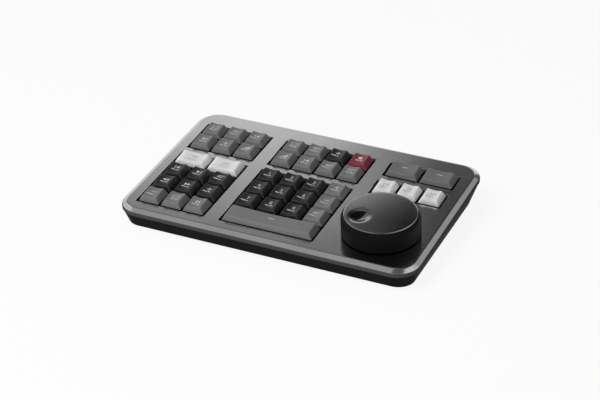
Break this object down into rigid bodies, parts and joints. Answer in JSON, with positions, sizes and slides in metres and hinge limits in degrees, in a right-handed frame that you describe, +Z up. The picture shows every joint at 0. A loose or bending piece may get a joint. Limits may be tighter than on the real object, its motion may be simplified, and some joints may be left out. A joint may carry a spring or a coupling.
{
  "type": "editing keyboard",
  "caption": "Low sloped desk keyboard with blocks of sprung keys in a bevelled metal panel, a free-turning search dial with a finger dimple, a dark drafted tray and rubber feet.",
  "frame": {"origin": "on the desk, under the middle of the keyboard's box", "axes": "+X to the user's right, +Y to the rear, +Z up"},
  "size_m": [0.2456, 0.1576, 0.0416],
  "materials": {
    "panel_aluminium": "fine-blasted anodised, satin",
    "tray_plastic": "fine moulded texture",
    "plate_steel": "zinc plated",
    "board_laminate": "solder resist",
    "housing_plastic": "moulded",
    "socket_steel": "bright drawn",
    "battery_pouch": "foil pouch",
    "screw_steel": "blackened",
    "foot_rubber": "matt",
    "dial_coating": "black soft-touch coating on a turned body",
    "shaft_steel": "ground",
    "bush_brass": "turned",
    "nut_steel": "zinc plated",
    "motor_shell": "cast",
    "magnet_iron": "sintered",
    "cap_grey": "fine moulded texture",
    "cap_black": "fine moulded texture",
    "cap_white": "fine moulded texture",
    "cap_red": "fine moulded texture",
    "cap_dark": "fine moulded texture"
  },
  "bodies": {
    "case": {"base_tray": "tray_plastic", "battery_pack": "battery_pouch", "case_screws": "screw_steel", "circuit_board": "board_laminate", "dial_bush": "bush_brass", "dial_motor": "motor_shell", "dial_nut": "nut_steel", "rubber_feet": "foot_rubber", "switch_housings": "housing_plastic", "switch_plate": "plate_steel", "top_panel": "panel_aluminium", "usb_socket": "socket_steel"},
    "dial": {"dial_knob": "dial_coating", "dial_shaft": "shaft_steel", "dial_magnet": "magnet_iron"},
    "bank_key_1": {"bank_key_1": "cap_dark"},
    "bank_key_2": {"bank_key_2": "cap_dark"},
    "edit_key_1": {"edit_key_1": "cap_grey"},
    "edit_key_2": {"edit_key_2": "cap_grey"},
    "edit_key_3": {"edit_key_3": "cap_grey"},
    "edit_key_4": {"edit_key_4": "cap_grey"},
    "edit_key_5": {"edit_key_5": "cap_grey"},
    "edit_key_6": {"edit_key_6": "cap_grey"},
    "mark_key_1": {"mark_key_1": "cap_white"},
    "mark_key_2": {"mark_key_2": "cap_white"},
    "mode_key_1": {"mode_key_1": "cap_white"},
    "mode_key_2": {"mode_key_2": "cap_white"},
    "mode_key_3": {"mode_key_3": "cap_white"},
    "number_key_1": {"number_key_1": "cap_black"},
    "number_key_2": {"number_key_2": "cap_black"},
    "number_key_3": {"number_key_3": "cap_black"},
    "number_key_4": {"number_key_4": "cap_black"},
    "number_key_5": {"number_key_5": "cap_black"},
    "number_key_6": {"number_key_6": "cap_black"},
    "number_key_7": {"number_key_7": "cap_black"},
    "number_key_8": {"number_key_8": "cap_black"},
    "number_key_9": {"number_key_9": "cap_black"},
    "play_bar": {"play_bar": "cap_grey"},
    "side_key_1": {"side_key_1": "cap_grey"},
    "side_key_2": {"side_key_2": "cap_grey"},
    "side_key_3": {"side_key_3": "cap_grey"},
    "trim_key_1": {"trim_key_1": "cap_black"},
    "trim_key_2": {"trim_key_2": "cap_black"},
    "trim_key_3": {"trim_key_3": "cap_black"},
    "trim_key_4": {"trim_key_4": "cap_black"},
    "trim_key_5": {"trim_key_5": "cap_black"},
    "trim_key_6": {"trim_key_6": "cap_black"},
    "trim_key_7": {"trim_key_7": "cap_grey"},
    "trim_key_8": {"trim_key_8": "cap_grey"},
    "trim_key_9": {"trim_key_9": "cap_grey"},
    "view_key_1": {"view_key_1": "cap_grey"},
    "view_key_2": {"view_key_2": "cap_grey"},
    "view_key_3": {"view_key_3": "cap_black"},
    "view_key_4": {"view_key_4": "cap_red"},
    "view_key_5": {"view_key_5": "cap_grey"},
    "view_key_6": {"view_key_6": "cap_grey"},
    "view_key_7": {"view_key_7": "cap_grey"},
    "view_key_8": {"view_key_8": "cap_grey"}
  },
  "joints": [
    {"name": "dial_turn", "type": "hinge", "parent": "case", "child": "dial", "pos_m": [0.08082, -0.03519, 0.02156], "axis": [0, -0.0732, 0.9973], "continuous": true},
    {"name": "play_bar_press", "type": "slide", "parent": "case", "child": "play_bar", "axis": [0, 0.0732, -0.9973], "range_m": [0, 0.003], "stiffness_N_per_m": 150, "springref_m": -0.001},
    {"name": "bank_key_1_press", "type": "slide", "parent": "case", "child": "bank_key_1", "axis": [0, 0.0732, -0.9973], "range_m": [0, 0.003], "stiffness_N_per_m": 150, "springref_m": -0.001},
    {"name": "edit_key_1_press", "type": "slide", "parent": "case", "child": "edit_key_1", "axis": [0, 0.0732, -0.9973], "range_m": [0, 0.003], "stiffness_N_per_m": 150, "springref_m": -0.001},
    {"name": "mark_key_1_press", "type": "slide", "parent": "case", "child": "mark_key_1", "axis": [0, 0.0732, -0.9973], "range_m": [0, 0.003], "stiffness_N_per_m": 150, "springref_m": -0.001},
    {"name": "mode_key_1_press", "type": "slide", "parent": "case", "child": "mode_key_1", "axis": [0, 0.0732, -0.9973], "range_m": [0, 0.003], "stiffness_N_per_m": 150, "springref_m": -0.001},
    {"name": "number_key_1_press", "type": "slide", "parent": "case", "child": "number_key_1", "axis": [0, 0.0732, -0.9973], "range_m": [0, 0.003], "stiffness_N_per_m": 150, "springref_m": -0.001},
    {"name": "side_key_1_press", "type": "slide", "parent": "case", "child": "side_key_1", "axis": [0, 0.0732, -0.9973], "range_m": [0, 0.003], "stiffness_N_per_m": 150, "springref_m": -0.001},
    {"name": "trim_key_1_press", "type": "slide", "parent": "case", "child": "trim_key_1", "axis": [0, 0.0732, -0.9973], "range_m": [0, 0.003], "stiffness_N_per_m": 150, "springref_m": -0.001},
    {"name": "view_key_1_press", "type": "slide", "parent": "case", "child": "view_key_1", "axis": [0, 0.0732, -0.9973], "range_m": [0, 0.003], "stiffness_N_per_m": 150, "springref_m": -0.001},
    {"name": "bank_key_2_press", "type": "slide", "parent": "case", "child": "bank_key_2", "axis": [0, 0.0732, -0.9973], "range_m": [0, 0.003], "stiffness_N_per_m": 150, "springref_m": -0.001},
    {"name": "edit_key_2_press", "type": "slide", "parent": "case", "child": "edit_key_2", "axis": [0, 0.0732, -0.9973], "range_m": [0, 0.003], "stiffness_N_per_m": 150, "springref_m": -0.001},
    {"name": "mark_key_2_press", "type": "slide", "parent": "case", "child": "mark_key_2", "axis": [0, 0.0732, -0.9973], "range_m": [0, 0.003], "stiffness_N_per_m": 150, "springref_m": -0.001},
    {"name": "mode_key_2_press", "type": "slide", "parent": "case", "child": "mode_key_2", "axis": [0, 0.0732, -0.9973], "range_m": [0, 0.003], "stiffness_N_per_m": 150, "springref_m": -0.001},
    {"name": "number_key_2_press", "type": "slide", "parent": "case", "child": "number_key_2", "axis": [0, 0.0732, -0.9973], "range_m": [0, 0.003], "stiffness_N_per_m": 150, "springref_m": -0.001},
    {"name": "side_key_2_press", "type": "slide", "parent": "case", "child": "side_key_2", "axis": [0, 0.0732, -0.9973], "range_m": [0, 0.003], "stiffness_N_per_m": 150, "springref_m": -0.001},
    {"name": "trim_key_2_press", "type": "slide", "parent": "case", "child": "trim_key_2", "axis": [0, 0.0732, -0.9973], "range_m": [0, 0.003], "stiffness_N_per_m": 150, "springref_m": -0.001},
    {"name": "view_key_2_press", "type": "slide", "parent": "case", "child": "view_key_2", "axis": [0, 0.0732, -0.9973], "range_m": [0, 0.003], "stiffness_N_per_m": 150, "springref_m": -0.001},
    {"name": "edit_key_3_press", "type": "slide", "parent": "case", "child": "edit_key_3", "axis": [0, 0.0732, -0.9973], "range_m": [0, 0.003], "stiffness_N_per_m": 150, "springref_m": -0.001},
    {"name": "mode_key_3_press", "type": "slide", "parent": "case", "child": "mode_key_3", "axis": [0, 0.0732, -0.9973], "range_m": [0, 0.003], "stiffness_N_per_m": 150, "springref_m": -0.001},
    {"name": "number_key_3_press", "type": "slide", "parent": "case", "child": "number_key_3", "axis": [0, 0.0732, -0.9973], "range_m": [0, 0.003], "stiffness_N_per_m": 150, "springref_m": -0.001},
    {"name": "side_key_3_press", "type": "slide", "parent": "case", "child": "side_key_3", "axis": [0, 0.0732, -0.9973], "range_m": [0, 0.003], "stiffness_N_per_m": 150, "springref_m": -0.001},
    {"name": "trim_key_3_press", "type": "slide", "parent": "case", "child": "trim_key_3", "axis": [0, 0.0732, -0.9973], "range_m": [0, 0.003], "stiffness_N_per_m": 150, "springref_m": -0.001},
    {"name": "view_key_3_press", "type": "slide", "parent": "case", "child": "view_key_3", "axis": [0, 0.0732, -0.9973], "range_m": [0, 0.003], "stiffness_N_per_m": 150, "springref_m": -0.001},
    {"name": "edit_key_4_press", "type": "slide", "parent": "case", "child": "edit_key_4", "axis": [0, 0.0732, -0.9973], "range_m": [0, 0.003], "stiffness_N_per_m": 150, "springref_m": -0.001},
    {"name": "number_key_4_press", "type": "slide", "parent": "case", "child": "number_key_4", "axis": [0, 0.0732, -0.9973], "range_m": [0, 0.003], "stiffness_N_per_m": 150, "springref_m": -0.001},
    {"name": "trim_key_4_press", "type": "slide", "parent": "case", "child": "trim_key_4", "axis": [0, 0.0732, -0.9973], "range_m": [0, 0.003], "stiffness_N_per_m": 150, "springref_m": -0.001},
    {"name": "view_key_4_press", "type": "slide", "parent": "case", "child": "view_key_4", "axis": [0, 0.0732, -0.9973], "range_m": [0, 0.003], "stiffness_N_per_m": 150, "springref_m": -0.001},
    {"name": "edit_key_5_press", "type": "slide", "parent": "case", "child": "edit_key_5", "axis": [0, 0.0732, -0.9973], "range_m": [0, 0.003], "stiffness_N_per_m": 150, "springref_m": -0.001},
    {"name": "number_key_5_press", "type": "slide", "parent": "case", "child": "number_key_5", "axis": [0, 0.0732, -0.9973], "range_m": [0, 0.003], "stiffness_N_per_m": 150, "springref_m": -0.001},
    {"name": "trim_key_5_press", "type": "slide", "parent": "case", "child": "trim_key_5", "axis": [0, 0.0732, -0.9973], "range_m": [0, 0.003], "stiffness_N_per_m": 150, "springref_m": -0.001},
    {"name": "view_key_5_press", "type": "slide", "parent": "case", "child": "view_key_5", "axis": [0, 0.0732, -0.9973], "range_m": [0, 0.003], "stiffness_N_per_m": 150, "springref_m": -0.001},
    {"name": "edit_key_6_press", "type": "slide", "parent": "case", "child": "edit_key_6", "axis": [0, 0.0732, -0.9973], "range_m": [0, 0.003], "stiffness_N_per_m": 150, "springref_m": -0.001},
    {"name": "number_key_6_press", "type": "slide", "parent": "case", "child": "number_key_6", "axis": [0, 0.0732, -0.9973], "range_m": [0, 0.003], "stiffness_N_per_m": 150, "springref_m": -0.001},
    {"name": "trim_key_6_press", "type": "slide", "parent": "case", "child": "trim_key_6", "axis": [0, 0.0732, -0.9973], "range_m": [0, 0.003], "stiffness_N_per_m": 150, "springref_m": -0.001},
    {"name": "view_key_6_press", "type": "slide", "parent": "case", "child": "view_key_6", "axis": [0, 0.0732, -0.9973], "range_m": [0, 0.003], "stiffness_N_per_m": 150, "springref_m": -0.001},
    {"name": "number_key_7_press", "type": "slide", "parent": "case", "child": "number_key_7", "axis": [0, 0.0732, -0.9973], "range_m": [0, 0.003], "stiffness_N_per_m": 150, "springref_m": -0.001},
    {"name": "trim_key_7_press", "type": "slide", "parent": "case", "child": "trim_key_7", "axis": [0, 0.0732, -0.9973], "range_m": [0, 0.003], "stiffness_N_per_m": 150, "springref_m": -0.001},
    {"name": "view_key_7_press", "type": "slide", "parent": "case", "child": "view_key_7", "axis": [0, 0.0732, -0.9973], "range_m": [0, 0.003], "stiffness_N_per_m": 150, "springref_m": -0.001},
    {"name": "number_key_8_press", "type": "slide", "parent": "case", "child": "number_key_8", "axis": [0, 0.0732, -0.9973], "range_m": [0, 0.003], "stiffness_N_per_m": 150, "springref_m": -0.001},
    {"name": "trim_key_8_press", "type": "slide", "parent": "case", "child": "trim_key_8", "axis": [0, 0.0732, -0.9973], "range_m": [0, 0.003], "stiffness_N_per_m": 150, "springref_m": -0.001},
    {"name": "view_key_8_press", "type": "slide", "parent": "case", "child": "view_key_8", "axis": [0, 0.0732, -0.9973], "range_m": [0, 0.003], "stiffness_N_per_m": 150, "springref_m": -0.001},
    {"name": "number_key_9_press", "type": "slide", "parent": "case", "child": "number_key_9", "axis": [0, 0.0732, -0.9973], "range_m": [0, 0.003], "stiffness_N_per_m": 150, "springref_m": -0.001},
    {"name": "trim_key_9_press", "type": "slide", "parent": "case", "child": "trim_key_9", "axis": [0, 0.0732, -0.9973], "range_m": [0, 0.003], "stiffness_N_per_m": 150, "springref_m": -0.001}
  ]
}
